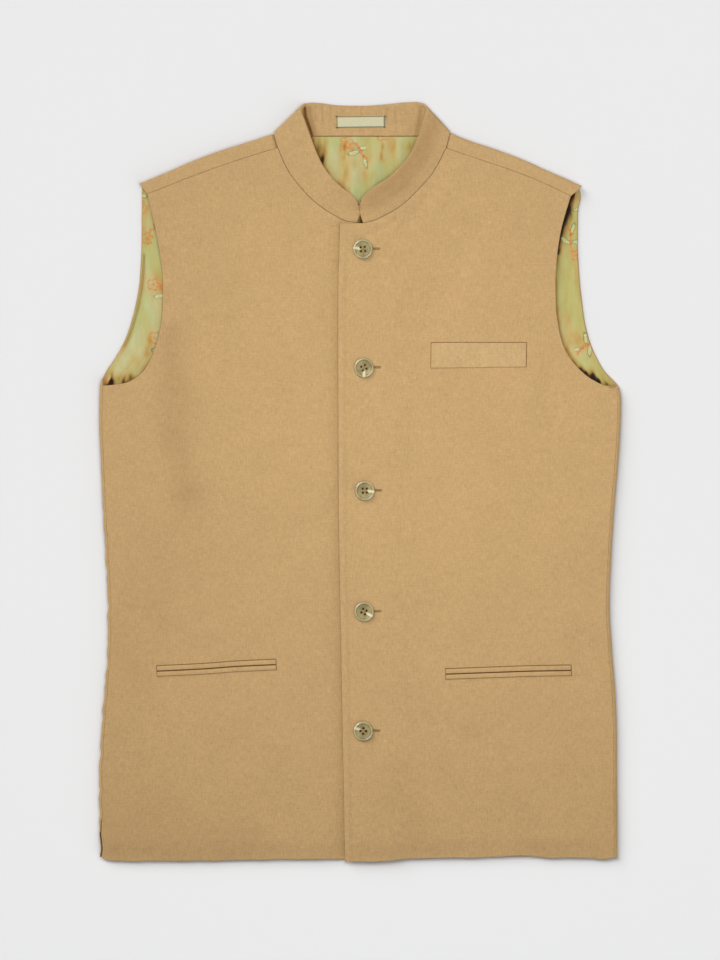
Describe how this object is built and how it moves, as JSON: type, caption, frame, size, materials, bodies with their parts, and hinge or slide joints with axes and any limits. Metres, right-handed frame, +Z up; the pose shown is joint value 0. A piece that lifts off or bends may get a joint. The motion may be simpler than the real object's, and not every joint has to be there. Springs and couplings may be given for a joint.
{
  "type": "gilet",
  "caption": "Sleeveless button-front gilet with a stand collar, welt breast pocket and jetted side pockets, laid flat on its back.",
  "frame": {"origin": "centre of the bounding box on the surface that the gilet lies on", "axes": "+X to the right and +Y towards the collar as seen from above, +Z up out of the buttoned front"},
  "size_m": [0.537, 0.7818, 0.0139],
  "materials": {
    "cloth": "tan cotton moleskin with a short soft nap, matte",
    "lining": "shot green-gold satin with woven flower sprigs, soft sheen",
    "label": "plain woven satin tape with a thin green edge",
    "horn": "mottled olive-brown horn effect, polished"
  },
  "bodies": {
    "root": {"back_panel": "cloth", "back_right_shoulder": "cloth", "back_left_shoulder": "cloth", "back_lining": "lining", "front_right": "cloth", "front_left": "cloth", "collar": "cloth", "breast_welt": "cloth", "left_pocket_upper_jet": "cloth", "left_pocket_lower_jet": "cloth", "right_pocket_upper_jet": "cloth", "right_pocket_lower_jet": "cloth", "label": "label", "button_1": "horn", "button_2": "horn", "button_3": "horn", "button_4": "horn", "button_5": "horn"}
  },
  "joints": []
}
